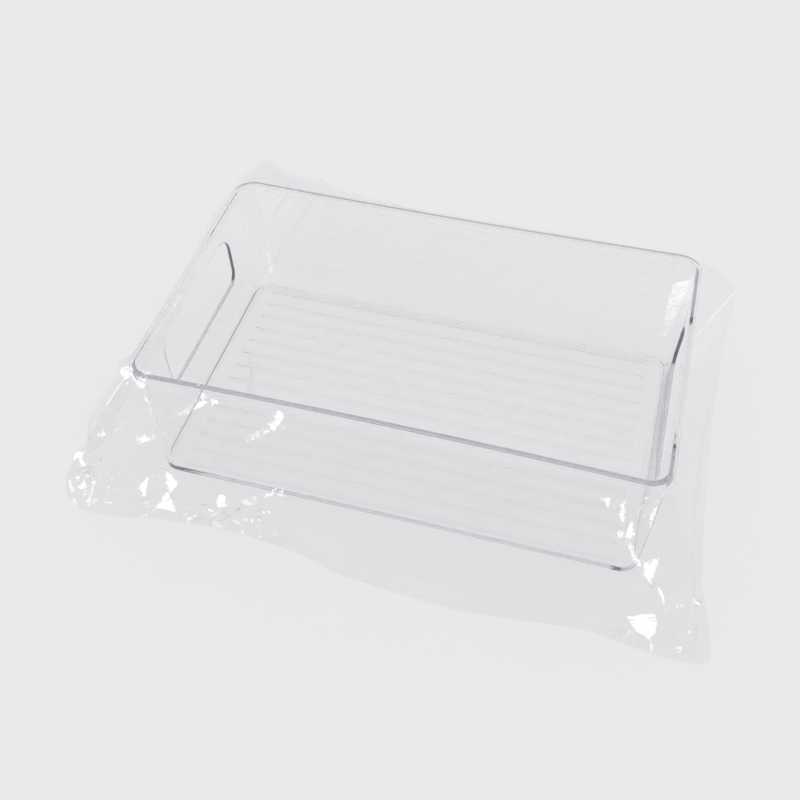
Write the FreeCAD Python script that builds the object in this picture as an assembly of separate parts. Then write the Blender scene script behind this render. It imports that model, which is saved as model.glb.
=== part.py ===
"""Clear fridge bin in its loose poly bag.

A one-piece moulded tub with a hand slot through each end wall, and the thin film bag that it lies in.
Frame: +X along the bin's length, +Y along its width, +Z up. The origin is on the bag's underside, which
is what rests on the shelf, below the middle of the tub.
"""
import FreeCAD, Part
import math
import os

# Tub, all in millimetres. Length and width are taken over the lip.
TUB_LENGTH = 300.0
TUB_WIDTH = 178.0
TUB_HEIGHT = 90.0
LIP_OVERHANG = 1.0
LIP_HEIGHT = 4.6
LIP_CORNER_RADIUS = 13.0
WALL_THICKNESS = 2.2
FLOOR_THICKNESS = 2.4
WALL_TAPER = 2.8
BASE_CORNER_RADIUS = 11.0
LIP_SIDE_BOW = 1.8
BASE_SIDE_BOW = 0.2
BASE_EDGE_RADIUS = 0.8
FLOOR_EDGE_RADIUS = 2.0
LIP_EDGE_RADIUS = 0.3

# Raised bead round the top of the lip, left out above the hand slots.
BEAD_HEIGHT = 0.2
BEAD_WIDTH = 2.0
BEAD_INSET = 0.7
BEAD_GAP = 112.0

# Hand slot through each end wall.
SLOT_WIDTH = 100.0
SLOT_BOTTOM = 37.0
SLOT_TOP = 75.0
SLOT_LOWER_RADIUS = 8.0
SLOT_UPPER_RADIUS = 13.0
SLOT_EDGE_RADIUS = 0.7

# Low ribs along the floor, rounded on top.
RIB_COUNT = 14
RIB_PITCH = 12.0
RIB_LENGTH = 266.0
RIB_HEIGHT = 0.4
RIB_RADIUS = 1.3

# Bag: the film's outer faces, seen along X, and its two ends.
FILM_THICKNESS = 0.3
BAG_GAP = 0.4
BAG_TOP_HALF_WIDTH = 91.5
BAG_FRONT_HEM = -132.0
BAG_BACK_HEM = 120.0
BAG_BACK_HEM_HEIGHT = 40.0
BAG_BACK_FOOT = 88.0
BAG_MOUTH_TOP = -168.0
BAG_MOUTH_FOOT = -200.0
BAG_END_TOP = 153.0
BAG_END_FOOT = 188.0

TUB_BASE = FILM_THICKNESS + BAG_GAP
TUB_TOP = TUB_BASE + TUB_HEIGHT
LIP_TOP = TUB_TOP - BEAD_HEIGHT
BAG_TOP = TUB_TOP + BAG_GAP + FILM_THICKNESS


def vector(x, y, z):
    return FreeCAD.Vector(x, y, z)


def side_bow(z):
    """How far the long sides bow in at their middle at height z: most at the lip, hardly at the base."""
    share = min((z - TUB_BASE) / (LIP_TOP - TUB_BASE), 1.0)
    return BASE_SIDE_BOW + (LIP_SIDE_BOW - BASE_SIDE_BOW) * share


def tub_outline(inset, z, corner_radius, bow):
    """Closed wire at height z: a rectangle with round corners whose long sides bow in towards the middle.

    inset is the distance in from the lip's outer face. The bowed sides run tangent into the corners.
    """
    half_length = TUB_LENGTH / 2 - inset
    half_width = TUB_WIDTH / 2 - inset
    centre_x = half_length - corner_radius
    centre_y = half_width - corner_radius
    bow_radius = (centre_x**2 + bow**2) / (2 * bow) - corner_radius
    bow_centre = half_width - bow + bow_radius
    lean = math.atan2(centre_x, bow_centre - centre_y)
    tangent_x = centre_x - corner_radius * math.sin(lean)
    tangent_y = centre_y + corner_radius * math.cos(lean)
    middle = (math.pi / 2 + lean) / 2
    middle_x = centre_x + corner_radius * math.cos(middle)
    middle_y = centre_y + corner_radius * math.sin(middle)
    edges = []
    for sx, sy in ((1, 1), (-1, 1), (-1, -1), (1, -1)):
        wall_end = vector(sx * half_length, sy * centre_y, z)
        corner = vector(sx * middle_x, sy * middle_y, z)
        side_end = vector(sx * tangent_x, sy * tangent_y, z)
        side_middle = vector(0, sy * (half_width - bow), z)
        if sx * sy > 0:
            edges.append(Part.Arc(wall_end, corner, side_end).toShape())
            edges.append(Part.Arc(side_end, side_middle, vector(-side_end.x, side_end.y, z)).toShape())
        else:
            edges.append(Part.Arc(side_end, corner, wall_end).toShape())
            edges.append(Part.LineSegment(wall_end, vector(wall_end.x, -wall_end.y, z)).toShape())
    return Part.Wire(edges)


def wall_inset(z):
    """Inset of the wall's outer face at height z: the wall leans in from the lip down to the base."""
    return LIP_OVERHANG + WALL_TAPER * (TUB_TOP - z) / TUB_HEIGHT


def corner_radius(z):
    """Plan radius of the wall's outer corner at height z."""
    share = (z - TUB_BASE) / TUB_HEIGHT
    return BASE_CORNER_RADIUS + (LIP_CORNER_RADIUS - LIP_OVERHANG - BASE_CORNER_RADIUS) * share


def tapered_solid(low, high, extra):
    """Solid between two heights whose sides follow the wall's outer face, moved in by extra."""
    wires = [
        tub_outline(wall_inset(z) + extra, z, corner_radius(z) - extra, side_bow(z)) for z in (low, high)
    ]
    return Part.makeLoft(wires, True, True)


def straight_ring(low, high, outer, inner):
    """Ring between two heights with upright sides, at two insets from the lip's outer face."""
    sides = [
        Part.Face(tub_outline(inset, low, LIP_CORNER_RADIUS - inset, LIP_SIDE_BOW)).extrude(
            vector(0, 0, high - low))
        for inset in (outer, inner)
    ]
    return sides[0].cut(sides[1])


def edges_at(shape, z):
    """Edges that lie level at height z."""
    return [e for e in shape.Edges if abs(e.BoundBox.ZMin - z) < 1e-4 and abs(e.BoundBox.ZMax - z) < 1e-4]


def outer_body():
    """Closed block with the tub's outer form: the leaning walls, the rounded base edge and the lip."""
    block = tapered_solid(TUB_BASE, LIP_TOP, 0.0)
    block = block.makeFillet(BASE_EDGE_RADIUS, edges_at(block, TUB_BASE))
    lip_low = LIP_TOP - LIP_HEIGHT
    lip = Part.Face(tub_outline(0.0, lip_low, LIP_CORNER_RADIUS, LIP_SIDE_BOW)).extrude(
        vector(0, 0, LIP_HEIGHT))
    lip = lip.makeFillet(LIP_EDGE_RADIUS, edges_at(lip, LIP_TOP) + edges_at(lip, lip_low))
    return block.fuse(lip)


def cavity():
    """The space inside the tub, open past the top, with a rounded edge round the floor."""
    floor = TUB_BASE + FLOOR_THICKNESS
    space = tapered_solid(floor, TUB_TOP + 5.0, WALL_THICKNESS)
    return space.makeFillet(FLOOR_EDGE_RADIUS, edges_at(space, floor))


def bead():
    """The raised bead on the lip, in two halves that stop short of the hand slots."""
    ring = straight_ring(LIP_TOP - 1.0, TUB_TOP, BEAD_INSET, BEAD_INSET + BEAD_WIDTH)
    gap = Part.makeBox(2 * TUB_LENGTH, BEAD_GAP, 10.0, vector(-TUB_LENGTH, -BEAD_GAP / 2, TUB_TOP - 5.0))
    return ring.cut(gap)


def slot_cutter(side):
    """Prism through one end wall with the hand slot's outline; side is +1 or -1 along X."""
    half = SLOT_WIDTH / 2
    corners = [
        (-half, SLOT_BOTTOM, SLOT_LOWER_RADIUS),
        (half, SLOT_BOTTOM, SLOT_LOWER_RADIUS),
        (half, SLOT_TOP, SLOT_UPPER_RADIUS),
        (-half, SLOT_TOP, SLOT_UPPER_RADIUS),
    ]
    x = side * (TUB_LENGTH / 2 - 20.0)
    points = [vector(x, y, TUB_BASE + z) for y, z, _ in corners]
    outline = Part.makePolygon(points + points[:1])
    prism = Part.Face(outline).extrude(vector(side * 40.0, 0, 0))
    for y, z, radius in corners:
        long_edges = [
            e for e in prism.Edges
            if e.BoundBox.XLength > 30
            and abs(e.CenterOfMass.y - y) < 1e-3
            and abs(e.CenterOfMass.z - TUB_BASE - z) < 1e-3
        ]
        prism = prism.makeFillet(radius, long_edges)
    return prism


def slot_rims(shape):
    """Edges of the hand slots on both faces of the end walls."""
    found = []
    for edge in shape.Edges:
        box = edge.BoundBox
        inside = box.ZMin > TUB_BASE + SLOT_BOTTOM - 1 and box.ZMax < TUB_BASE + SLOT_TOP + 1
        near = max(abs(box.YMin), abs(box.YMax)) < SLOT_WIDTH / 2 + 1
        across = box.YLength < 0.1 and box.ZLength < 0.1
        if inside and near and not across and box.XLength < WALL_THICKNESS:
            found.append(edge)
    return found


def floor_rib(y):
    """One rib along X: a round bar with ball ends, sunk into the floor so that RIB_HEIGHT stands out."""
    centre_z = TUB_BASE + FLOOR_THICKNESS + RIB_HEIGHT - RIB_RADIUS
    half = RIB_LENGTH / 2 - RIB_RADIUS
    bar = Part.makeCylinder(RIB_RADIUS, 2 * half, vector(-half, y, centre_z), vector(1, 0, 0))
    ends = [Part.makeSphere(RIB_RADIUS, vector(x, y, centre_z)) for x in (-half, half)]
    return bar.fuse(ends)


def bin_tub():
    tub = outer_body().fuse(bead()).cut(cavity())
    for side in (-1, 1):
        tub = tub.cut(slot_cutter(side))
    tub = tub.makeFillet(SLOT_EDGE_RADIUS, slot_rims(tub))
    first = -RIB_PITCH * (RIB_COUNT - 1) / 2
    tub = tub.fuse([floor_rib(first + RIB_PITCH * i) for i in range(RIB_COUNT)])
    return tub.removeSplitter()


def plane_through(a, b, along_x, inside):
    """(unit normal, distance) of a film face that holds points a and b and the given direction."""
    normal = (b - a).cross(along_x)
    normal.normalize()
    if normal.dot(inside - a) > 0:
        normal = normal * -1
    return normal, normal.dot(a)


def meet(planes, depth):
    """The point where three faces meet, each moved in by its own depth."""
    (n1, d1), (n2, d2), (n3, d3) = [(n, d - step) for (n, d), step in zip(planes, depth)]
    total = n2.cross(n3) * d1 + n3.cross(n1) * d2 + n1.cross(n2) * d3
    return total * (1 / n1.dot(n2.cross(n3)))


def film_panel(face, neighbours):
    """Flat panel of film, mitred to the panels beside it; neighbours go round the face in order.

    Each entry is (plane, film depth): the open mouth has no film, so its depth is zero.
    """
    ring = []
    for i, beside in enumerate(neighbours):
        after = neighbours[(i + 1) % len(neighbours)]
        planes = (face, beside[0], after[0])
        outer = meet(planes, (0, 0, 0))
        inner = meet(planes, (FILM_THICKNESS, beside[1], after[1]))
        ring.append((outer, inner))
    polygons = [[outer for outer, _ in ring], [inner for _, inner in ring]]
    for (outer, inner), (next_outer, next_inner) in zip(ring, ring[1:] + ring[:1]):
        polygons.append([outer, next_outer, next_inner, inner])
    shell = Part.makeShell([Part.Face(Part.makePolygon(p + p[:1])) for p in polygons])
    panel = Part.Solid(shell)
    if panel.Volume < 0:
        panel.reverse()
    return panel


def bag_films():
    """The bag's upper and lower film, in flat panels: a sleeve closed at +X, with its mouth open at -X.

    They meet along the front hem, the back hem, which is held up off the shelf, and the closed end.
    """
    x_axis, y_axis = vector(1, 0, 0), vector(0, 1, 0)
    inside = vector(0, 0, BAG_TOP / 2)
    top_front = vector(0, -BAG_TOP_HALF_WIDTH, BAG_TOP)
    top_back = vector(0, BAG_TOP_HALF_WIDTH, BAG_TOP)
    front_hem = vector(0, BAG_FRONT_HEM, 0)
    back_hem = vector(0, BAG_BACK_HEM, BAG_BACK_HEM_HEIGHT)
    back_foot = vector(0, BAG_BACK_FOOT, 0)
    top = plane_through(top_front, top_back, x_axis, inside)
    front = plane_through(top_front, front_hem, x_axis, inside)
    floor = plane_through(front_hem, back_foot, x_axis, inside)
    back_low = plane_through(back_foot, back_hem, x_axis, inside)
    back_high = plane_through(back_hem, top_back, x_axis, inside)
    end = plane_through(vector(BAG_END_TOP, 0, BAG_TOP), vector(BAG_END_FOOT, 0, 0), y_axis, inside)
    mouth = plane_through(vector(BAG_MOUTH_TOP, 0, BAG_TOP), vector(BAG_MOUTH_FOOT, 0, 0), y_axis, inside)
    sides = [top, front, floor, back_low, back_high]
    film = FILM_THICKNESS
    panels = []
    for i, face in enumerate(sides):
        before = sides[i - 1]
        after = sides[(i + 1) % len(sides)]
        panels.append(film_panel(face, [(before, film), (end, film), (after, film), (mouth, 0)]))
    end_panel = film_panel(end, [(side, film) for side in sides])
    top_panel, front_panel, floor_panel, back_low_panel, back_high_panel = panels
    upper = Part.makeCompound([top_panel, front_panel, back_high_panel, end_panel])
    lower = Part.makeCompound([floor_panel, back_low_panel])
    return upper, lower


def main():
    os.makedirs("parts", exist_ok=True)
    upper_film, lower_film = bag_films()
    bin_tub().exportStep("parts/bin_tub.step")
    upper_film.exportStep("parts/bag_upper_film.step")
    lower_film.exportStep("parts/bag_lower_film.step")


main()
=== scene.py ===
"""Clear fridge bin in its loose poly bag, seen from above its front right corner."""
import math
import random

import bmesh
import bpy
import numpy as np
from mathutils import Matrix, Vector, noise
from mathutils.geometry import tessellate_polygon


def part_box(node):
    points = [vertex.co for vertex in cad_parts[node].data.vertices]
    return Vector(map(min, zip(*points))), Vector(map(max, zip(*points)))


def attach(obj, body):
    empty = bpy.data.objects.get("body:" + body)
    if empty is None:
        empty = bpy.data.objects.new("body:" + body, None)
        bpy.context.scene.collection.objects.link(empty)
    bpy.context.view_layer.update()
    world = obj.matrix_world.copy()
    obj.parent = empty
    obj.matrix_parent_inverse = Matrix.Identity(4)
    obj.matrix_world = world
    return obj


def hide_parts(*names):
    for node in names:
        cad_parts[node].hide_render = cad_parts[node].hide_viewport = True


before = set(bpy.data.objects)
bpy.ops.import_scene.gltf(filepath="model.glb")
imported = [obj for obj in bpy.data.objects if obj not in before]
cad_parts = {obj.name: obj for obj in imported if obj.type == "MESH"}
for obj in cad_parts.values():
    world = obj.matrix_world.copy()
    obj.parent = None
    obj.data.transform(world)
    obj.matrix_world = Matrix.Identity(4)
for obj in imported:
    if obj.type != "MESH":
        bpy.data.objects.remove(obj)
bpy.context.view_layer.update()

TUB_LOW, TUB_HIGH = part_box("bin_tub")
MM = 0.001

# Tub. Its length, width and height come from the frame; the rest are the design's own sizes.
HALF_LENGTH = (TUB_HIGH.x - TUB_LOW.x) / 2
HALF_WIDTH = (TUB_HIGH.y - TUB_LOW.y) / 2
TUB_BASE = TUB_LOW.z
TUB_TOP = TUB_HIGH.z
LIP_OVERHANG = 1.0 * MM
LIP_HEIGHT = 4.6 * MM
LIP_CORNER = 13.0 * MM
LIP_EDGE = 0.3 * MM
LIP_NECK = 0.4 * MM
BRIM_EDGE = 0.25 * MM
WALL = 2.2 * MM
FLOOR = 2.4 * MM
WALL_TAPER = 2.8 * MM
BASE_CORNER = 11.0 * MM
BASE_EDGE = 0.8 * MM
FLOOR_EDGE = 2.0 * MM
LIP_BOW = 1.8 * MM
BASE_BOW = 0.2 * MM
BEAD_HEIGHT = 0.2 * MM
BEAD_WIDTH = 2.0 * MM
BEAD_INSET = 0.7 * MM
BEAD_END = 56.0 * MM
BEAD_SIDE = 0.02 * BEAD_WIDTH
LIP_TOP = TUB_TOP - BEAD_HEIGHT
SLOT_HALF = 50.0 * MM
SLOT_BOTTOM = TUB_BASE + 37.0 * MM
SLOT_TOP = TUB_BASE + 75.0 * MM
SLOT_LOWER_RADIUS = 8.0 * MM
SLOT_UPPER_RADIUS = 13.0 * MM
SLOT_EDGE = 0.7 * MM
SLOT_PANEL = 58.0 * MM
RIB_COUNT = 14
RIB_PITCH = 12.0 * MM
RIB_HALF_LENGTH = 133.0 * MM
RIB_HALF_WIDTH = 0.95 * MM
RIB_HEIGHT = 0.4 * MM
RIB_MARGIN = 1.5 * MM


def mesh_object(name, points, faces, smooth_angle=35.0):
    """A mesh object from points and faces, with outward normals and edges over smooth_angle kept sharp."""
    mesh = bpy.data.meshes.new(name)
    mesh.from_pydata([tuple(p) for p in points], [], faces)
    mesh.validate()
    work = bmesh.new()
    work.from_mesh(mesh)
    bmesh.ops.remove_doubles(work, verts=work.verts, dist=1e-7)
    bmesh.ops.recalc_face_normals(work, faces=work.faces)
    work.to_mesh(mesh)
    work.free()
    mesh.shade_smooth()
    mesh.set_sharp_from_angle(angle=math.radians(smooth_angle))
    made = bpy.data.objects.new(name, mesh)
    bpy.context.scene.collection.objects.link(made)
    return made


# ---------------------------------------------------------------- tub

CORNER_STEPS = 14
BASE_STEPS = 6
LIP_STEPS = 4
BRIM_STEPS = 3
SLOT_CORNER_STEPS = 10
RIB_STEPS = 8
RIB_END_STEPS = 5
LONG_STEPS = 72
BEAD_FADE = 1.2 * MM
END_STATIONS = [-SLOT_PANEL, -BEAD_END - BEAD_FADE / 2, -BEAD_END + BEAD_FADE / 2,
                BEAD_END - BEAD_FADE / 2, BEAD_END + BEAD_FADE / 2, SLOT_PANEL]


def wall_inset(z):
    """Inset of the wall's outer face from the lip at height z."""
    return LIP_OVERHANG + WALL_TAPER * (TUB_TOP - z) / (TUB_TOP - TUB_BASE)


def wall_corner(z):
    """Plan radius of the wall's outer corner at height z."""
    share = (z - TUB_BASE) / (TUB_TOP - TUB_BASE)
    return BASE_CORNER + (LIP_CORNER - LIP_OVERHANG - BASE_CORNER) * share


def side_bow(z):
    """How far the long sides bow in at their middle at height z."""
    return BASE_BOW + (LIP_BOW - BASE_BOW) * min((z - TUB_BASE) / (LIP_TOP - TUB_BASE), 1.0)


def quarter_outline(inset, radius, bow):
    """Plan points of one quarter, from the end wall's middle past the corner to the long side's middle."""
    half_length = HALF_LENGTH - inset
    half_width = HALF_WIDTH - inset
    centre_x = half_length - radius
    centre_y = half_width - radius
    bow_radius = (centre_x**2 + bow**2) / (2 * bow) - radius
    bow_centre = half_width - bow + bow_radius
    lean = math.atan2(centre_x, bow_centre - centre_y)
    points = [(half_length, y) for y in END_STATIONS if y > 0]
    for step in range(CORNER_STEPS + 1):
        turn = (math.pi / 2 + lean) * step / CORNER_STEPS
        points.append((centre_x + radius * math.cos(turn), centre_y + radius * math.sin(turn)))
    for step in range(1, LONG_STEPS + 1):
        swing = lean * (1 - step / LONG_STEPS)
        points.append((bow_radius * math.sin(swing), bow_centre - bow_radius * math.cos(swing)))
    return points


def ring_points(inset, radius, bow):
    """The whole plan outline, anticlockwise from the right end wall's middle."""
    quarter = quarter_outline(inset, radius, bow)
    second = [(-x, y) for x, y in reversed(quarter[:-1])]
    half = quarter + second
    return half + [(-x, -y) for x, y in half]


def bead_share(x, y):
    """1 where the bead stands on the lip, falling to 0 above the hand slots."""
    if abs(x) < HALF_LENGTH - 10 * MM:
        return 1.0
    return min(max((abs(y) - BEAD_END) / BEAD_FADE + 0.5, 0.0), 1.0)


def arc(centre, radius, start, end, steps):
    """Points on an arc in the (inset, z) plane; angles in degrees."""
    turns = [math.radians(start + (end - start) * i / steps) for i in range(steps + 1)]
    return [(centre[0] + radius * math.cos(t), centre[1] + radius * math.sin(t)) for t in turns]


def tub_profile():
    """Rows of the wall's section from the base's flat, up the outside, over the lip and down to the floor.

    Each row is (inset, z, plan radius, bead height). Returns the rows and the two row numbers at which
    the outer and inner wall panels begin.
    """
    rows = []
    base_centre = (wall_inset(TUB_BASE) + BASE_EDGE, TUB_BASE + BASE_EDGE)
    for inset, z in arc(base_centre, BASE_EDGE, -90, -180, BASE_STEPS):
        rows.append((inset, z, max(wall_corner(z) - (inset - wall_inset(z)), 1 * MM), 0.0))
    outer_panel = len(rows) - 1
    lip_low = LIP_TOP - LIP_HEIGHT
    neck_z = lip_low - LIP_NECK
    rows.append((wall_inset(neck_z), neck_z, wall_corner(neck_z), 0.0))
    lip = [(wall_inset(lip_low) - LIP_NECK * 0.3, lip_low - LIP_NECK * 0.3),
           (wall_inset(lip_low) - LIP_NECK, lip_low)]
    lip += arc((LIP_EDGE, lip_low + LIP_EDGE), LIP_EDGE, -90, -180, LIP_STEPS)
    lip += arc((LIP_EDGE, LIP_TOP - LIP_EDGE), LIP_EDGE, 180, 90, LIP_STEPS)
    rows += [(inset, z, LIP_CORNER - inset, 0.0) for inset, z in lip]
    for inset, height in (
        (0.0, 0.0), (0.12 * BEAD_SIDE, 0.35), (0.4 * BEAD_SIDE, 0.75), (BEAD_SIDE, 1.0),
        (BEAD_WIDTH - BEAD_SIDE, 1.0), (BEAD_WIDTH - 0.4 * BEAD_SIDE, 0.75),
        (BEAD_WIDTH - 0.12 * BEAD_SIDE, 0.35), (BEAD_WIDTH, 0.0),
    ):
        place = BEAD_INSET + inset
        rows.append((place, LIP_TOP, LIP_CORNER - place, height * BEAD_HEIGHT))
    inner_edge = wall_inset(LIP_TOP) + WALL
    for inset, z in arc((inner_edge - BRIM_EDGE, LIP_TOP - BRIM_EDGE), BRIM_EDGE, 90, 0, BRIM_STEPS):
        rows.append((inset, z, LIP_CORNER - inset, 0.0))
    inner_panel = len(rows) - 1
    floor = TUB_BASE + FLOOR
    foot = wall_inset(floor) + WALL
    for inset, z in arc((foot + FLOOR_EDGE, floor + FLOOR_EDGE), FLOOR_EDGE, 180, 270, BASE_STEPS):
        rows.append((inset, z, wall_corner(z) - (inset - wall_inset(z)), 0.0))
    return rows, outer_panel, inner_panel


def slot_outline(grow):
    """(y, z) points round the hand slot, grown outwards by a distance."""
    low, high = SLOT_BOTTOM - grow, SLOT_TOP + grow
    half = SLOT_HALF + grow
    points = []
    for sy, z, radius, start in (
        (1, low, SLOT_LOWER_RADIUS, -90), (1, high, SLOT_UPPER_RADIUS, 0),
        (-1, high, SLOT_UPPER_RADIUS, 90), (-1, low, SLOT_LOWER_RADIUS, 180),
    ):
        round_off = radius + grow
        centre = (sy * (half - round_off), z + round_off if z == low else z - round_off)
        points += arc(centre, round_off, start, start + 90, SLOT_CORNER_STEPS)
    return points


def tub_mesh():
    """The whole tub as one closed mesh."""
    rows, outer_panel, inner_panel = tub_profile()
    rings = [ring_points(inset, radius, side_bow(z)) for inset, z, radius, _ in rows]
    count = len(rings[0])
    points = []
    for ring, (_, z, _, bead) in zip(rings, rows):
        points += [(x, y, z + bead * bead_share(x, y)) for x, y in ring]
    faces = []
    panel_corners = {}
    for row in range(len(rows) - 1):
        for i in range(count):
            after = (i + 1) % count
            y0, y1 = rings[row][i][1], rings[row][after][1]
            x0, x1 = rings[row][i][0], rings[row][after][0]
            on_end = abs(x0 - x1) < 1e-6 and max(abs(y0), abs(y1)) < SLOT_PANEL + 1e-6
            if row in (outer_panel, inner_panel) and on_end:
                side = 1 if x0 > 0 else -1
                panel_corners.setdefault((row, side), []).append(i)
                continue
            faces.append((row * count + i, row * count + after,
                          (row + 1) * count + after, (row + 1) * count + i))
    add_hand_slots(points, faces, panel_corners, count, (outer_panel, inner_panel))
    faces.append(tuple(range(count)))
    add_ribbed_floor(points, faces, (len(rows) - 1) * count, count)
    return mesh_object("clear_bin", points, faces)


def add_hand_slots(points, faces, panels, count, wall_rows):
    """Fills each end wall panel round its slot and joins the outer and inner faces through it."""
    profile = [(SLOT_EDGE * (1 - math.sin(t)), SLOT_EDGE * (1 - math.cos(t)))
               for t in (0, math.pi / 8, math.pi / 4, 3 * math.pi / 8, math.pi / 2)]
    for side in (1, -1):
        loops = []
        steps = [(grow, depth, True) for grow, depth in profile]
        steps += [(grow, depth, False) for grow, depth in reversed(profile)]
        for grow, depth, from_outside in steps:
            loop = []
            for y, z in slot_outline(grow):
                face_x = HALF_LENGTH - wall_inset(z) - (0 if from_outside else WALL)
                x = face_x - depth if from_outside else face_x + depth
                loop.append(len(points))
                points.append((side * x, y, z))
            loops.append(loop)
        for a, b in zip(loops, loops[1:]):
            for i in range(len(a)):
                after = (i + 1) % len(a)
                faces.append((a[i], a[after], b[after], b[i]))
        for row, loop in zip(wall_rows, (loops[0], loops[-1])):
            columns = panels[row, side]
            run = sorted({c for i in columns for c in (i, (i + 1) % count)},
                         key=lambda c: points[row * count + c][1])
            border = [row * count + c for c in run] + [(row + 1) * count + c for c in reversed(run)]
            fill_between(points, faces, border, loop)


def fill_between(points, faces, border, hole):
    """Triangles between a border and a hole in one flat face."""
    order = list(border) + list(hole)
    for triangle in tessellate_polygon([[Vector(points[i]) for i in border],
                                        [Vector(points[i]) for i in hole]]):
        faces.append(tuple(order[i] for i in triangle))


def add_ribbed_floor(points, faces, ring_start, count):
    """The inside floor with its ribs, joined to the ring of points round the floor's edge."""
    floor = TUB_BASE + FLOOR
    across = []
    for rib in range(RIB_COUNT):
        centre = RIB_PITCH * (rib - (RIB_COUNT - 1) / 2)
        for step in range(RIB_STEPS + 1):
            turn = math.pi * step / RIB_STEPS
            across.append((centre - RIB_HALF_WIDTH * math.cos(turn), RIB_HEIGHT * math.sin(turn)))
    across = [(across[0][0] - RIB_MARGIN, 0.0)] + across + [(across[-1][0] + RIB_MARGIN, 0.0)]
    along = []
    for step in range(RIB_END_STEPS + 1):
        turn = math.pi / 2 * step / RIB_END_STEPS
        along.append((-RIB_HALF_LENGTH + RIB_HALF_WIDTH * (1 - math.cos(turn)), math.sin(turn)))
    along = [(along[0][0] - RIB_MARGIN, 0.0)] + along
    along = along + [(-x, share) for x, share in reversed(along)]
    start = len(points)
    for x, share in along:
        points += [(x, y, floor + height * share) for y, height in across]
    wide = len(across)
    for i in range(len(along) - 1):
        for j in range(wide - 1):
            a = start + i * wide + j
            faces.append((a, a + 1, a + wide + 1, a + wide))
    last = len(along) - 1
    border = [start + j for j in range(wide)]
    border += [start + i * wide + wide - 1 for i in range(1, last + 1)]
    border += [start + last * wide + j for j in range(wide - 2, -1, -1)]
    border += [start + i * wide for i in range(last - 1, 0, -1)]
    fill_between(points, faces, [ring_start + i for i in range(count)], border)


def maths(nodes, links, operation, *values):
    """A maths node's output; each value is a number or another node's output."""
    node = nodes.new("ShaderNodeMath")
    node.operation = operation
    for socket, value in zip(node.inputs, values):
        if isinstance(value, (int, float)):
            socket.default_value = value
        else:
            links.new(value, socket)
    return node.outputs[0]


def unseen_rays(nodes, links):
    """1 for shadow and diffuse rays, which pass straight through clear things, and 0 for all others."""
    path = nodes.new("ShaderNodeLightPath")
    return maths(nodes, links, "MAXIMUM", path.outputs["Is Shadow Ray"], path.outputs["Is Diffuse Ray"])


# Painted shade: how much greyer the plastic's colour is painted in a band along each floor rib.
RIB_PAINTED_SHADE = 0.034
PLASTIC_IOR = 1.49
PLASTIC_TINT = (0.3, 0.28, 0.42, 1)
PLASTIC_DENSITY = 7.5


def painted_rib_shade(nodes, links):
    """Colour of the plastic with painted shade: a little greyer in a soft band along each rib of the floor,
    in place of the shade that the ribs throw through the floor onto what lies beneath.
    """
    place = nodes.new("ShaderNodeTexCoord")
    split = nodes.new("ShaderNodeSeparateXYZ")
    links.new(place.outputs["Object"], split.inputs[0])
    x, y, z = split.outputs
    phase = maths(nodes, links, "MULTIPLY_ADD", y, 2 * math.pi / RIB_PITCH, math.pi)
    band = maths(nodes, links, "MAXIMUM", maths(nodes, links, "COSINE", phase), 0.0)
    low = maths(nodes, links, "LESS_THAN", z, TUB_BASE + FLOOR + RIB_HEIGHT + 0.1 * MM)
    along = maths(nodes, links, "LESS_THAN", maths(nodes, links, "ABSOLUTE", x), RIB_HALF_LENGTH)
    on_floor = maths(nodes, links, "MULTIPLY", low, along)
    on_rib = maths(nodes, links, "MULTIPLY", band, on_floor)
    return maths(nodes, links, "MULTIPLY_ADD", on_rib, -RIB_PAINTED_SHADE, 1.0)


def clear_plastic():
    """Clear rigid plastic that darkens a little along long paths, so that its rim shows."""
    mat = bpy.data.materials.new("clear_plastic")
    mat.use_nodes = True
    nodes, links = mat.node_tree.nodes, mat.node_tree.links
    shader = nodes["Principled BSDF"]
    # The base colour carries painted shade in a band along each floor rib.
    links.new(painted_rib_shade(nodes, links), shader.inputs["Base Color"])
    shader.inputs["Roughness"].default_value = 0.02
    shader.inputs["IOR"].default_value = PLASTIC_IOR
    shader.inputs["Transmission Weight"].default_value = 1.0
    passing = nodes.new("ShaderNodeBsdfTransparent")
    passing.inputs["Color"].default_value = (1, 1, 1, 1)
    mix = nodes.new("ShaderNodeMixShader")
    links.new(unseen_rays(nodes, links), mix.inputs[0])
    links.new(shader.outputs[0], mix.inputs[1])
    links.new(passing.outputs[0], mix.inputs[2])
    links.new(mix.outputs[0], nodes["Material Output"].inputs["Surface"])
    tint = nodes.new("ShaderNodeVolumeAbsorption")
    tint.inputs["Color"].default_value = PLASTIC_TINT
    tint.inputs["Density"].default_value = PLASTIC_DENSITY
    links.new(tint.outputs[0], nodes["Material Output"].inputs["Volume"])
    return mat


def make_tub():
    tub = tub_mesh()
    tub.data.materials.append(clear_plastic())
    keep = tub.modifiers.new("flat_faces", "WEIGHTED_NORMAL")
    keep.keep_sharp = True
    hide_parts("bin_tub")
    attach(tub, "bin")
    return tub


# ---------------------------------------------------------------- film bag

FILM_GAP = 0.45 * MM
LOWER_HEIGHT = 0.15 * MM
SEAM_GAP = 0.25 * MM
EDGE_RADIUS = 1.6 * MM

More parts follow.
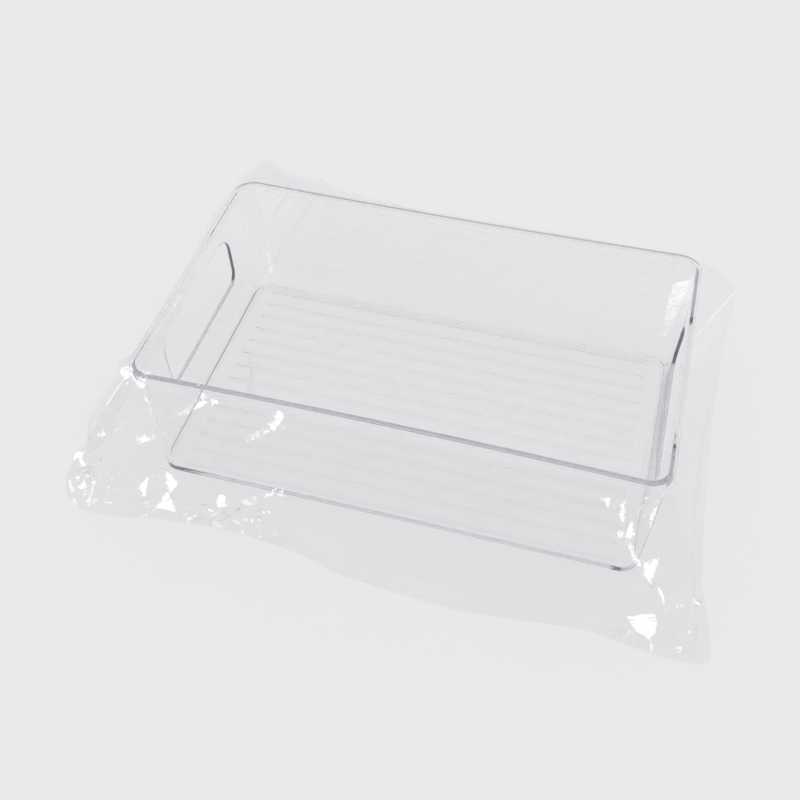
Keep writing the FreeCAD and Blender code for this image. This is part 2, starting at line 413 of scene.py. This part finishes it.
# Where the two films are welded together: (x, y, height above the shelf) in millimetres. Each run is what
# one end wall, corner or long side of the rim hangs down to, anticlockwise from the right end.
SEAM_RUNS = [
    ("end", [(182, -80, 0), (180, -40, 2), (178, 10, 7), (177, 60, 18), (177, 90, 28)]),
    ("corner", [(177, 90, 28), (179, 112, 38), (176, 123, 42), (158, 124, 42), (138, 120, 40)]),
    ("side", [(138, 120, 40), (85, 118, 42), (30, 118, 49), (-30, 117, 60), (-90, 119, 70), (-132, 122, 76)]),
    ("corner", [(-132, 122, 76), (-150, 127, 77), (-166, 119, 64), (-182, 98, 40)]),
    ("end", [(-182, 98, 40), (-193, 70, 18), (-200, 38, 4), (-203, 0, 0), (-202, -40, 0), (-200, -72, 0)]),
    ("corner", [(-200, -72, 0), (-201, -100, 0), (-195, -117, 0), (-179, -127, 0), (-155, -126, 0)]),
    ("side", [(-155, -126, 0), (-137, -122, 0), (-103, -118, 0), (-83, -118, 0), (-44, -122, 0),
              (-14, -129, 0), (46, -133, 0), (77, -131, 0), (122, -126, 0)]),
    ("corner", [(122, -126, 0), (154, -130, 0), (176, -131, 0), (190, -127, 0), (188, -105, 0),
                (182, -80, 0)]),
]
RUN_STEPS = {"end": 56, "corner": 46, "side": 110}
RING_COUNT = 2 * sum(RUN_STEPS.values()) + 2 * RUN_STEPS["corner"]
TOP_ROWS = 22
SKIRT_ROWS = 46
LOWER_ROWS = 18
# Where round the ring the film bulges most: (place from 0 to 1, anticlockwise from the front right, spread
# in the same measure, depth in millimetres). BULGE_LEAST is how far it bulges everywhere.
BULGES = [(0.622, 0.035, 6.0), (0.80, 0.12, 2.0), (0.98, 0.03, 2.0)]
BULGE_LEAST = 3.0 * MM


def smooth_run(points, steps):
    """Points evenly spaced along a smooth curve through a run's own points, without the last."""
    knots = np.array(points, float) * MM
    padded = np.vstack([2 * knots[0] - knots[1], knots, 2 * knots[-1] - knots[-2]])
    t = np.linspace(0, 1, 24, endpoint=False)[:, None]
    fine = []
    for before, start, end, after in zip(padded, padded[1:], padded[2:], padded[3:]):
        fine.append(0.5 * (2 * start + (end - before) * t + (2 * before - 5 * start + 4 * end - after) * t**2
                           + (3 * start - before - 3 * end + after) * t**3))
    curve = np.vstack(fine + [knots[-1:]])
    along = np.concatenate([[0], np.cumsum(np.linalg.norm(np.diff(curve, axis=0), axis=1))])
    at = np.linspace(0, along[-1], steps, endpoint=False)
    return np.stack([np.interp(at, along, curve[:, axis]) for axis in range(3)], axis=1)


def rim_run(index, inset):
    """Evenly spaced plan points of the rim, moved in by inset, that lie above one run of the seam."""
    radius = max(LIP_CORNER - inset, 1 * MM)
    half_x, half_y = HALF_LENGTH - inset, HALF_WIDTH - inset
    centre_x, centre_y = half_x - radius, half_y - radius
    kind = SEAM_RUNS[index][0]
    share = np.linspace(0, 1, RUN_STEPS[kind], endpoint=False)
    if kind == "end":
        side = 1 if index == 0 else -1
        return np.stack([np.full(len(share), side * half_x), side * centre_y * (2 * share - 1)], axis=1)
    if kind == "side":
        side = 1 if index == 2 else -1
        x = side * centre_x * (1 - 2 * share)
        bow = LIP_BOW * half_y / HALF_WIDTH * (1 - (x / centre_x) ** 2)
        return np.stack([x, side * (half_y - bow)], axis=1)
    sx, sy = {1: (1, 1), 3: (-1, 1), 5: (-1, -1), 7: (1, -1)}[index]
    turn = math.pi / 4 * (index - 1) + share * math.pi / 2
    return np.stack([sx * centre_x + radius * np.cos(turn), sy * centre_y + radius * np.sin(turn)], axis=1)


def rim_ring(inset):
    """The rim's plan outline, moved in by inset, with a point above each point of the seam."""
    return np.vstack([rim_run(index, inset) for index in range(len(SEAM_RUNS))])


def bulge_ring():
    """How far the hanging film stands out half-way down, all round: most at the front left corner."""
    position = np.arange(RING_COUNT) / RING_COUNT
    depth = np.full(RING_COUNT, BULGE_LEAST)
    for middle, half_width, height in BULGES:
        away = (position - middle + 0.5) % 1.0 - 0.5
        depth += (height * MM) * np.exp(-((away / half_width) ** 2))
    return depth


def seam_ring():
    """The points of the seam all round, none of them below the shelf."""
    ring = np.vstack([smooth_run(points, RUN_STEPS[kind]) for kind, points in SEAM_RUNS])
    ring[:, 2] = np.maximum(ring[:, 2], 0)
    return ring


def level(ring, height):
    """A ring of plan points as points at one height."""
    return np.column_stack([ring, np.full(len(ring), height)])


def upper_rows():
    """Rows of points: level over the rim from the middle outwards, over the lip's edge, down to the seam."""
    top = TUB_TOP + FILM_GAP
    rows = []
    for row in range(TOP_ROWS):
        inset = (HALF_WIDTH - 1.5 * MM) * (1 - row / TOP_ROWS)
        sag = 1.5 * MM * min(inset / (40 * MM), 1.0)
        rows.append(level(rim_ring(inset), top - sag))
    for turn in (0, 30, 60):
        lean = math.radians(turn)
        rows.append(level(rim_ring(EDGE_RADIUS * (1 - math.sin(lean)) - FILM_GAP),
                          top - EDGE_RADIUS * (1 - math.cos(lean))))
    rim, seam = rim_ring(-FILM_GAP), seam_ring()
    start = top - EDGE_RADIUS
    end = seam[:, 2] + LOWER_HEIGHT + SEAM_GAP
    reach = np.linalg.norm(seam[:, :2] - rim, axis=1)
    outward = (seam[:, :2] - rim) / reach[:, None]
    lying = 0.22 * np.clip(1 - seam[:, 2] / (20 * MM), 0, 1) * reach
    hanging = np.hypot(start - end, reach - lying)
    softness = 5 * MM * np.clip(lying / (5 * MM), 0.02, 1)
    for row in range(SKIRT_ROWS + 1):
        along = (hanging + lying) * row / SKIRT_ROWS
        left = hanging - along
        fall = (left + np.sqrt(left**2 + softness**2)) / 2
        fall_at_rim = (hanging + np.sqrt(hanging**2 + softness**2)) / 2
        height = end + (start - end) * fall / fall_at_rim
        out = (reach - lying) * np.minimum(along / hanging, 1) + np.maximum(-left, 0)
        bulge = bulge_ring() * np.sin(math.pi * np.minimum(along / hanging, 1) ** 1.1)
        out += bulge
        height += 0.3 * bulge
        rows.append(np.column_stack([rim + outward * out[:, None], height]))
    return np.array(rows)


def lower_rows():
    """Rows of points from under the middle of the tub out to the seam."""
    seam = seam_ring()
    inner = 3 * MM
    rows = []
    for row in range(TOP_ROWS + 1):
        inset = inner + (HALF_WIDTH - inner - 1.5 * MM) * (1 - row / TOP_ROWS)
        rows.append(level(rim_ring(inset), LOWER_HEIGHT))
    foot = rows[-1][:, :2]
    for row in range(1, LOWER_ROWS + 1):
        share = row / LOWER_ROWS
        plan = foot + (seam[:, :2] - foot) * share
        rows.append(np.column_stack([plan, LOWER_HEIGHT + seam[:, 2] * share**1.3]))
    return np.array(rows)


def row_faces(row_count):
    """Quads between rows, and the strip that closes the middle by joining each point to its mirror image."""
    count = RING_COUNT
    faces = [(row * count + i, (row + 1) * count + i, (row + 1) * count + (i + 1) % count,
              row * count + (i + 1) % count) for row in range(row_count - 1) for i in range(count)]
    middle = RUN_STEPS["end"] // 2
    for k in range(count // 2):
        back, back_next = (middle + k) % count, (middle + k + 1) % count
        front, front_next = (middle - k) % count, (middle - k - 1) % count
        corners = list(dict.fromkeys([front, back, back_next, front_next]))
        if len(corners) > 2:
            faces.append(tuple(corners))
    return faces


def film_object(name, rows, material):
    mesh = bpy.data.meshes.new(name)
    mesh.from_pydata(rows.reshape(-1, 3).tolist(), [], row_faces(len(rows)))
    mesh.validate()
    mesh.materials.append(material)
    piece = bpy.data.objects.new(name, mesh)
    bpy.context.scene.collection.objects.link(piece)
    return piece


def refine(mesh, zones):
    """Splits each face whose middle is in one of the zones, boxes in millimetres, into four."""
    work = bmesh.new()
    work.from_mesh(mesh)
    edges = set()
    for face in work.faces:
        middle = face.calc_center_median() / MM
        if any(all(a <= m <= b for a, m, b in zip(low, middle, high)) for low, high in zones):
            edges.update(face.edges)
    bmesh.ops.subdivide_edges(work, edges=list(edges), cuts=1, use_grid_fill=True)
    work.to_mesh(mesh)
    work.free()


def mesh_points(mesh):
    """The points of a mesh and their normals as arrays."""
    points = np.empty(len(mesh.vertices) * 3, np.float32)
    normals = np.empty(len(mesh.vertices) * 3, np.float32)
    mesh.vertices.foreach_get("co", points)
    mesh.vertices.foreach_get("normal", normals)
    return points.reshape(-1, 3).astype(float), normals.reshape(-1, 3).astype(float)


def unit(vector):
    return vector / np.linalg.norm(vector)


def nearest_normal(points, normals, corners):
    """The film's mean normal at the corners of a facet."""
    nearest = [int(np.argmin(np.sum((points - corner) ** 2, axis=1))) for corner in corners]
    return unit(normals[nearest].mean(axis=0))


def cut_outlines(mesh, facets):
    """Cuts the film's faces along each facet's outline, so that its creases run exactly there."""
    points, normals = mesh_points(mesh)
    work = bmesh.new()
    work.from_mesh(mesh)
    for corners, _ in facets:
        normal = nearest_normal(points, normals, corners)
        middle = Vector(np.mean(corners, axis=0))
        reach = 1.1 * max(np.linalg.norm(corner - middle) for corner in corners) + 2 * MM
        faces = [face for face in work.faces if (face.calc_center_median() - middle).length < reach]
        edges = {edge for face in faces for edge in face.edges}
        verts = {vert for face in faces for vert in face.verts}
        geometry = faces + list(edges) + list(verts)
        for start, end in zip(corners, corners[1:] + corners[:1]):
            across = np.cross(normal, end - start)
            cut = bmesh.ops.bisect_plane(work, geom=geometry, dist=0.05 * MM, plane_co=start, plane_no=across)
            geometry = cut["geom"]
    bmesh.ops.triangulate(work, faces=[face for face in work.faces if len(face.verts) > 4])
    work.to_mesh(mesh)
    work.free()


# How far a facet may stand off the film, how steep its creases are, and the boxes in millimetres where the
# film's faces are split finer.
FACET_DEEPEST = 5.0 * MM
CREASE_STEEPNESS = 1.3
REFINED_ZONES = [((-210, -140, -1), (-40, -84, 95)), ((105, -140, -1), (200, -80, 95))]


def facet_offset(points, normals, corners, facing):
    """The points near one flat facet of the film, how far each moves along its normal, and which are on it.

    The facet is a convex polygon turned about its own middle until it faces a direction, and steep
    creases round it lead back to the film. A facet beside the rim is lifted clear of the lip.
    """
    middle = np.mean(corners, axis=0)
    normal = nearest_normal(points, normals, corners)
    reach = max(np.linalg.norm(corner - middle) for corner in corners)
    near = np.flatnonzero(np.linalg.norm(points - middle, axis=1) < 1.8 * reach + 1 * MM)
    lean = -((points[near] - middle) @ facing) / np.maximum(normals[near] @ facing, 0.35)
    turn = sum(np.cross(a - middle, b - middle) @ normal for a, b in zip(corners, corners[1:] + corners[:1]))
    inside = np.full(len(near), np.inf)
    for start, end in zip(corners, corners[1:] + corners[:1]):
        inward = np.cross(normal, end - start) * math.copysign(1, turn)
        inside = np.minimum(inside, (points[near] - start) @ unit(inward))
    on_facet = inside > -0.06 * MM
    if middle[2] > TUB_TOP - 12 * MM and on_facet.any():
        lean = lean + max(-lean[on_facet].min(), 0)
    lean = np.clip(lean, -FACET_DEEPEST, FACET_DEEPEST)
    lean = np.sign(lean) * np.maximum(np.abs(lean) + CREASE_STEEPNESS * np.minimum(inside, 0), 0)
    return near, lean, on_facet


# The facets that stand out: the soft box that each mirrors and its corners in millimetres.
LARGE_FACETS = [
    ("left", [(-155, -81, 86), (-149, -84, 89), (-142, -88, 90), (-151, -90, 85)]),
    ("left", [(-149, -87, 89), (-135, -89, 90), (-124, -91, 87), (-138, -92, 86)]),
    ("left", [(-151, -89, 87), (-152, -89, 86), (-168, -105, 55), (-167, -106, 55)]),
    ("front_left", [(-104, -88, 91), (-101, -89, 90), (-98, -91, 87), (-102, -92, 84)]),
    ("front_left", [(-110, -96, 77), (-104, -92, 84), (-98, -91, 87), (-99, -93, 83)]),
    ("front_left", [(-99, -92, 86), (-94, -91, 88), (-89, -91, 86), (-96, -93, 84)]),
    ("front_left", [(-57, -88, 90), (-54, -89, 89), (-55, -92, 83), (-61, -92, 83), (-59, -90, 87)]),
    ("front_left", [(-55, -92, 83), (-59, -95, 77), (-64, -95, 77), (-61, -92, 83)]),
    ("front_left", [(-59, -95, 77), (-71, -99, 70), (-64, -95, 77)]),
    ("front_left", [(-145, -105, 58), (-139, -105, 56), (-139, -105, 52)]),
    ("front_left", [(-139, -105, 56), (-127, -103, 58), (-139, -105, 52)]),
    ("front_left", [(-144, -113, 19), (-138, -111, 26), (-140, -114, 14), (-143, -114, 14)]),
    ("front_left", [(-130, -109, 32), (-119, -109, 26), (-124, -111, 18)]),
    ("front_left", [(-129, -112, 13), (-121, -113, 4), (-137, -116, 2)]),
    ("front_left", [(-99, -110, 15), (-94, -109, 22), (-90, -110, 12), (-92, -111, 6)]),
    ("high", [(-104, -114, 2), (-96, -114, 1), (-89, -118, 1), (-99, -118, 1)]),
    ("front_left", [(-106, -111, 5), (-92, -110, 9), (-88, -111, 4)]),
    ("high", [(-84, -117, 1), (-76, -120, 1), (-80, -115, 1)]),
    ("front_left", [(-79, -114, 2), (-72, -111, 10), (-75, -113, 3)]),
    ("front_left", [(-93, -111, 4), (-79, -113, 3), (-86, -112, 1)]),
    ("high", [(-118, -117, 1), (-108, -112, 3), (-113, -119, 1)]),
    ("front_left", [(-56, -106, 46), (-54, -106, 46), (-53, -108, 37), (-59, -107, 38)]),
    ("front_left", [(-57, -107, 41), (-72, -109, 26), (-60, -108, 34)]),
    ("left", [(-196, -92, 3), (-193, -93, 6), (-182, -109, 15), (-184, -108, 11)]),
    ("left", [(-184, -107, 12), (-176, -110, 24), (-181, -109, 14)]),
    ("left", [(-179, -112, 9), (-176, -113, 12), (-174, -119, 2)]),
    ("high", [(-198, -109, 1), (-195, -109, 1), (-189, -121, 1)]),
    ("left", [(-171, -107, 47), (-163, -107, 55), (-156, -106, 58), (-163, -108, 52)]),
    ("front_right", [(118, -96, 79), (120, -95, 82), (123, -97, 75), (120, -97, 75)]),
    ("front_right", [(126, -96, 79), (129, -95, 82), (131, -101, 68), (127, -100, 72)]),
    ("front_right", [(133, -99, 72), (139, -103, 63), (131, -103, 62)]),
    ("front_right", [(132, -104, 60), (136, -105, 59), (145, -108, 48), (140, -108, 49)]),
    ("front_right", [(144, -108, 50), (152, -107, 53), (151, -111, 39), (146, -110, 43)]),
    ("front_right", [(154, -113, 34), (158, -113, 32), (169, -118, 11), (162, -116, 22)]),
    ("front_right", [(143, -117, 10), (158, -117, 14), (161, -120, 6), (158, -125, 1), (151, -120, 3)]),
    ("front_right", [(137, -92, 86), (140, -93, 84), (137, -93, 83)]),
    ("front_right", [(141, -94, 83), (145, -94, 82), (143, -101, 68)]),
    ("front_right", [(146, -88, 88), (148, -88, 88), (142, -96, 80)]),
    ("front_right", [(31, -110, 47), (34, -110, 47), (33, -112, 44)]),
]


def large_facets():
    """The facets that stand out, each turned so that the camera sees its soft box in it."""
    facets = []
    for box, corners in LARGE_FACETS:
        corners = [np.array(corner) * MM for corner in corners]
        middle = np.mean(corners, axis=0)
        to_box = unit(np.array(soft_box_place(box)) - middle)
        to_camera = unit(np.array(camera_place()) - middle)
        facets.append((corners, unit(to_box + to_camera)))
    return facets


# Boxes in millimetres where the film is crumpled, and how many small facets each has.
CRUMPLED_ZONES = [
    ((-205, -135, -1), (-120, -90, 40), 36), ((-120, -125, -1), (-60, -100, 16), 34),
    ((115, -135, -1), (195, -85, 80), 34), ((-150, -110, 30), (-40, -88, 80), 10),
    ((160, -85, -1), (190, 130, 60), 8), ((-150, 88, 60), (160, 130, 84), 8),
]


def crumpled_facets(generator, points, normals, low, high, count):
    """Small facets tipped at random on the film between two corners of a box, in millimetres."""
    inside = np.flatnonzero(((points > np.array(low) * MM) & (points < np.array(high) * MM)).all(axis=1))
    facets = []
    for _ in range(count):
        index = inside[generator.randrange(len(inside))]
        middle, normal = points[index], normals[index]
        across = unit(np.cross(normal, [generator.uniform(-1, 1) for _ in range(3)]))
        along = np.cross(normal, across)
        long_half = generator.uniform(2, 8) * MM
        short_half = long_half * generator.uniform(0.2, 0.6)
        corners = [middle + along * long_half, middle + across * short_half - along * long_half * 0.4,
                   middle - across * short_half - along * long_half * 0.7]
        way = generator.uniform(0, 2 * math.pi)
        tip = generator.uniform(0.05, 0.3)
        facing = unit(normal + tip * (math.cos(way) * across + math.sin(way) * along))
        facets.append((corners, facing))
    return facets


def wave_height(point, scale, depth):
    """Slow waves of the slack film."""
    return depth * noise.noise(Vector(point) / scale)


def crease_upper_film(mesh):
    """Gives the smooth upper film its waves, its crumpled corners and its large facets."""
    large = large_facets()
    cut_outlines(mesh, large)
    points, normals = mesh_points(mesh)
    waves = np.array([wave_height(p, 45 * MM, 1.6 * MM) + wave_height(p, 14 * MM, 0.35 * MM) for p in points])
    below_rim = np.clip((TUB_TOP - points[:, 2]) / (12 * MM), 0, 1)
    move_points(mesh, points + normals * (np.maximum(waves, -0.5 * MM) * below_rim)[:, None])
    points, normals = mesh_points(mesh)
    generator = random.Random(11)
    moved = np.zeros(len(points))
    for low, high, count in CRUMPLED_ZONES:
        for corners, facing in crumpled_facets(generator, points, normals, low, high, count):
            near, lean, _ = facet_offset(points, normals, corners, facing)
            moved[near] = np.where(np.abs(lean) > np.abs(moved[near]), lean, moved[near])
    for corners, facing in large:
        near, lean, on_facet = facet_offset(points, normals, corners, facing)
        moved[near] = np.where(on_facet | (np.abs(lean) > np.abs(moved[near])), lean, moved[near])
    points += normals * moved[:, None]
    keep_clear(points)
    move_points(mesh, points)


def move_points(mesh, points):
    mesh.vertices.foreach_set("co", points.astype(np.float32).ravel())
    mesh.update()


def keep_clear(points):
    """Moves film that lies inside the tub's outline out to just clear of it, and lifts it off the shelf."""
    gap = 0.35 * MM
    radius = LIP_CORNER + gap
    beyond = np.abs(points[:, :2]) - (np.array([HALF_LENGTH, HALF_WIDTH]) + gap - radius)
    outside = np.maximum(beyond, 0)
    distance = np.linalg.norm(outside, axis=1)
    inside = (distance > 0) & (distance < radius) & (points[:, 2] < TUB_TOP)
    share = np.where(inside, (radius - distance) / np.maximum(distance, 1e-9), 0)
    points[:, :2] += np.sign(points[:, :2]) * outside * share[:, None]
    points[:, 2] = np.maximum(points[:, 2], LOWER_HEIGHT + SEAM_GAP)


FILM_CLEARNESS = (0.974, 0.974, 0.973, 1)
FILM_EDGE_POWER = 4.0
FILM_EDGE_GLOSS = 0.6
FILM_HAZE = (0.05, 0.11)
FILM_CREASE_ANGLE = 16.0


def film_material():
    """Clear film: it lets light straight through and mirrors a little, more where it is seen edge-on."""
    mat = bpy.data.materials.new("film")
    mat.use_nodes = True
    nodes, links = mat.node_tree.nodes, mat.node_tree.links
    nodes.remove(nodes["Principled BSDF"])
    passing = nodes.new("ShaderNodeBsdfTransparent")
    passing.inputs["Color"].default_value = FILM_CLEARNESS
    gloss = nodes.new("ShaderNodeBsdfAnisotropic")
    gloss.inputs["Roughness"].default_value = 0.06
    gloss.inputs["Color"].default_value = (1, 1, 1, 1)
    ripple = nodes.new("ShaderNodeTexNoise")
    ripple.inputs["Scale"].default_value = 45.0
    ripple.inputs["Detail"].default_value = 2.0
    bump = nodes.new("ShaderNodeBump")
    bump.inputs["Strength"].default_value = 0.2
    bump.inputs["Distance"].default_value = 0.002
    links.new(ripple.outputs["Fac"], bump.inputs["Height"])
    links.new(bump.outputs["Normal"], gloss.inputs["Normal"])
    edge_on = nodes.new("ShaderNodeLayerWeight")
    edge_on.inputs["Blend"].default_value = 0.5
    patches = nodes.new("ShaderNodeTexNoise")
    patches.inputs["Scale"].default_value = 28.0
    patches.inputs["Detail"].default_value = 3.0
    patches.inputs["Distortion"].default_value = 1.5
    haze = nodes.new("ShaderNodeMapRange")
    haze.inputs["From Min"].default_value = 0.35
    haze.inputs["From Max"].default_value = 0.7
    haze.inputs["To Min"].default_value, haze.inputs["To Max"].default_value = FILM_HAZE
    links.new(patches.outputs["Fac"], haze.inputs["Value"])
    steep = maths(nodes, links, "POWER", edge_on.outputs["Facing"], FILM_EDGE_POWER)
    mirrored = maths(nodes, links, "MULTIPLY_ADD", steep, FILM_EDGE_GLOSS, haze.outputs["Result"])
    seen = maths(nodes, links, "SUBTRACT", 1.0, unseen_rays(nodes, links))
    share = maths(nodes, links, "MULTIPLY", mirrored, seen)
    shine = nodes.new("ShaderNodeMixShader")
    links.new(share, shine.inputs[0])
    links.new(passing.outputs[0], shine.inputs[1])
    links.new(gloss.outputs[0], shine.inputs[2])
    links.new(shine.outputs[0], nodes["Material Output"].inputs["Surface"])
    return mat


def make_bag():
    material = film_material()
    upper = film_object("upper_film", upper_rows(), material)
    refine(upper.data, REFINED_ZONES)
    crease_upper_film(upper.data)
    lower = film_object("lower_film", lower_rows(), material)
    for piece, node in ((upper, "bag_upper_film"), (lower, "bag_lower_film")):
        piece.data.shade_smooth()
        piece.data.set_sharp_from_angle(angle=math.radians(FILM_CREASE_ANGLE))
        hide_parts(node)
        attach(piece, "bag")


# ---------------------------------------------------------------- setting

CAMERA_AZIMUTH = 16.34
CAMERA_ELEVATION = 49.61
CAMERA_ROLL = -0.887
CAMERA_DISTANCE = 0.65734
CAMERA_TARGET = Vector((-0.01829, 0.00558, TUB_BASE))
CAMERA_LENS_MM = 45.35


# Soft boxes, each as its direction from the middle (+X, +Y, +Z), its width, its height and its radiance.
BOX_DISTANCE = 1.3
SOFT_BOXES = {
    "left": ((-0.95, -0.25, 0.19), 0.36, 0.34, 3.8),
    "front_left": ((-0.55, -0.7, 0.45), 0.36, 0.34, 3.8),
    "front_right": ((0.45, -0.75, 0.45), 0.36, 0.34, 3.8),
    "high": ((-0.8, 0.1, 0.6), 0.36, 0.34, 3.8),
}


def camera_back():
    """Unit vector from what the camera looks at towards the camera."""
    azimuth, elevation = math.radians(CAMERA_AZIMUTH), math.radians(CAMERA_ELEVATION)
    return Vector((math.sin(azimuth) * math.cos(elevation),
                   -math.cos(azimuth) * math.cos(elevation), math.sin(elevation)))


def camera_place():
    return CAMERA_TARGET + camera_back() * CAMERA_DISTANCE


def soft_box_place(name):
    return Vector(SOFT_BOXES[name][0]).normalized() * BOX_DISTANCE


def make_camera():
    back = camera_back()
    right = Vector((0, 0, 1)).cross(back).normalized()
    up = back.cross(right)
    turn = Matrix((right, up, back)).transposed().to_4x4() @ Matrix.Rotation(
        math.radians(CAMERA_ROLL), 4, "Z")
    data = bpy.data.cameras.new("camera")
    data.lens = CAMERA_LENS_MM
    data.clip_start = 0.01
    camera = bpy.data.objects.new("camera", data)
    camera.matrix_world = Matrix.Translation(camera_place()) @ turn
    bpy.context.scene.collection.objects.link(camera)
    bpy.context.scene.camera = camera


def make_floor():
    mesh = bpy.data.meshes.new("floor")
    mesh.from_pydata([(x * FLOOR_REACH, y * FLOOR_REACH, 0) for x, y in ((-1, -1), (1, -1), (1, 1), (-1, 1))],
                     [], [(0, 1, 2, 3)])
    floor = bpy.data.objects.new("floor", mesh)
    bpy.context.scene.collection.objects.link(floor)
    mat = bpy.data.materials.new("pale_floor")
    mat.use_nodes = True
    shader = mat.node_tree.nodes["Principled BSDF"]
    shader.inputs["Base Color"].default_value = FLOOR_COLOUR
    shader.inputs["Roughness"].default_value = 0.9
    shader.inputs["Specular IOR Level"].default_value = 0.0
    mesh.materials.append(mat)


def make_soft_box(name):
    """A soft box that only shows in gloss, facing the bin."""
    _, width, height, radiance = SOFT_BOXES[name]
    data = bpy.data.lights.new(name, "AREA")
    data.shape = "RECTANGLE"
    data.size = width
    data.size_y = height
    data.energy = radiance * math.pi * width * height
    light = bpy.data.objects.new(name, data)
    light.location = soft_box_place(name)
    light.rotation_euler = (-light.location).to_track_quat("-Z", "Y").to_euler()
    light.visible_diffuse = False
    light.visible_transmission = False
    bpy.context.scene.collection.objects.link(light)


STUDIO_STRENGTH = 0.965
STUDIO_TONES = [(0.0, (0.6, 0.59, 0.63, 1)), (0.45, (0.985, 0.98, 0.985, 1))]
FLOOR_REACH = 30.0
FLOOR_COLOUR = (0.9, 0.89, 0.9, 1)
LIGHT_BOUNCES = 96


def make_world():
    """A white studio that is greyer towards the horizon, on every side."""
    world = bpy.data.worlds.new("studio")
    world.use_nodes = True
    nodes, links = world.node_tree.nodes, world.node_tree.links
    place = nodes.new("ShaderNodeTexCoord")
    split = nodes.new("ShaderNodeSeparateXYZ")
    ramp = nodes.new("ShaderNodeValToRGB")
    for element, (height, colour) in zip(ramp.color_ramp.elements, STUDIO_TONES):
        element.position = height
        element.color = colour
    links.new(place.outputs["Generated"], split.inputs[0])
    links.new(split.outputs["Z"], ramp.inputs[0])
    links.new(ramp.outputs[0], nodes["Background"].inputs["Color"])
    nodes["Background"].inputs["Strength"].default_value = STUDIO_STRENGTH
    bpy.context.scene.world = world


def make_lights():
    """Light, and enough bounces for it to come back out of the tub's walls."""
    scene = bpy.context.scene
    scene.view_settings.view_transform = "Standard"
    scene.cycles.max_bounces = LIGHT_BOUNCES
    scene.cycles.glossy_bounces = LIGHT_BOUNCES
    scene.cycles.transmission_bounces = LIGHT_BOUNCES
    scene.cycles.transparent_max_bounces = LIGHT_BOUNCES
    scene.cycles.caustics_reflective = False
    scene.cycles.caustics_refractive = False
    make_world()
    for name in SOFT_BOXES:
        make_soft_box(name)


make_camera()
make_floor()
make_lights()
make_tub()
make_bag()
